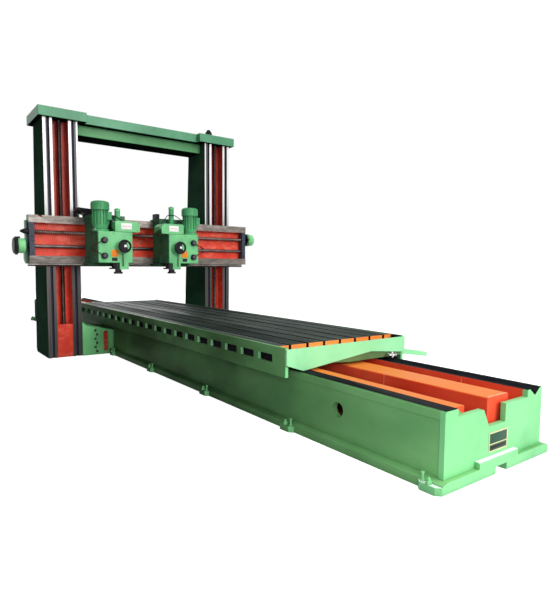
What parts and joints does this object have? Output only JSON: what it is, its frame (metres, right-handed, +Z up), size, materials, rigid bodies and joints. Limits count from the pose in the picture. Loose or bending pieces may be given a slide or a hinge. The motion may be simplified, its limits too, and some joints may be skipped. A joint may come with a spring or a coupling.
{
  "type": "gantry milling machine",
  "caption": "Gantry milling machine: a long T-slot table travels on a bed between columns, under a crossrail with vertical milling heads.",
  "frame": {"origin": "on the floor, midway between the columns, in the plane of their front guideways", "axes": "+X along the crossrail to the right head, +Y along the bed away from the operator's end, +Z up"},
  "size_m": [4.058, 12.188, 3.871],
  "materials": {
    "green_enamel": "worn gloss enamel",
    "scraped_iron": "scraped and oiled",
    "bright_steel": "turned",
    "red_primer": "satin",
    "orange_enamel": "satin",
    "black_enamel": "satin",
    "cable_rubber": "matt sheath"
  },
  "bodies": {
    "frame": {"bed_side_walls": "green_enamel", "bed_end_walls": "green_enamel", "flat_bed_way": "scraped_iron", "vee_bed_way": "scraped_iron", "bed_floor": "green_enamel", "bed_centre_box": "red_primer", "bed_wings": "green_enamel", "left_column": "green_enamel", "right_column": "green_enamel", "column_ways": "scraped_iron", "elevating_screws": "bright_steel", "column_caps": "green_enamel", "crown_beam": "green_enamel", "tie_beam": "green_enamel", "lift_gear_cap": "green_enamel"},
    "table": {"table_base": "orange_enamel", "table_top": "scraped_iron", "table_left_side": "green_enamel", "table_right_side": "green_enamel", "table_slides": "scraped_iron", "near_trough": "green_enamel", "far_trough": "green_enamel", "drain_spout": "green_enamel"},
    "rail": {"crossrail": "green_enamel", "rail_ways": "scraped_iron", "rail_end_plates": "black_enamel", "feed_shafts": "bright_steel", "gear_cover": "green_enamel", "feed_dials": "green_enamel"},
    "left_head": {"left_saddle": "green_enamel", "left_head_housing": "green_enamel", "left_drive_motor": "green_enamel", "left_motor_lead": "cable_rubber", "left_head_levers": "black_enamel"},
    "left_quill_slide": {"left_quill": "bright_steel"},
    "left_spindle": {"left_spindle_nose": "bright_steel"},
    "left_feed_wheel": {"left_handwheel": "black_enamel"},
    "right_head": {"right_saddle": "green_enamel", "right_head_housing": "green_enamel", "right_drive_motor": "green_enamel", "right_motor_lead": "cable_rubber", "right_head_levers": "black_enamel"},
    "right_quill_slide": {"right_quill": "bright_steel"},
    "right_spindle": {"right_spindle_nose": "bright_steel"},
    "right_feed_wheel": {"right_handwheel": "black_enamel"}
  },
  "joints": [
    {"name": "table_travel", "type": "slide", "parent": "frame", "child": "table", "axis": [0, 1, 0], "range_m": [-1.4, 4.25]},
    {"name": "rail_lift", "type": "slide", "parent": "frame", "child": "rail", "axis": [0, 0, 1], "range_m": [-0.33, 1.1]},
    {"name": "left_saddle_travel", "type": "slide", "parent": "rail", "child": "left_head", "axis": [1, 0, 0], "range_m": [-0.7, 0.13]},
    {"name": "right_saddle_travel", "type": "slide", "parent": "rail", "child": "right_head", "axis": [1, 0, 0], "range_m": [-0.13, 1.2]},
    {"name": "left_quill_feed", "type": "slide", "parent": "left_head", "child": "left_quill_slide", "axis": [0, 0, 1], "range_m": [-0.2, 0]},
    {"name": "left_spindle_spin", "type": "hinge", "parent": "left_quill_slide", "child": "left_spindle", "pos_m": [-0.682, -0.54, 1.3], "axis": [0, 0, 1], "continuous": true},
    {"name": "right_quill_feed", "type": "slide", "parent": "right_head", "child": "right_quill_slide", "axis": [0, 0, 1], "range_m": [-0.2, 0]},
    {"name": "right_spindle_spin", "type": "hinge", "parent": "right_quill_slide", "child": "right_spindle", "pos_m": [0.181, -0.54, 1.3], "axis": [0, 0, 1], "continuous": true},
    {"name": "left_handwheel_turn", "type": "hinge", "parent": "left_head", "child": "left_feed_wheel", "pos_m": [-0.687, -0.855, 1.685], "axis": [0, 1, 0], "continuous": true},
    {"name": "right_handwheel_turn", "type": "hinge", "parent": "right_head", "child": "right_feed_wheel", "pos_m": [0.186, -0.855, 1.685], "axis": [0, 1, 0], "continuous": true}
  ]
}
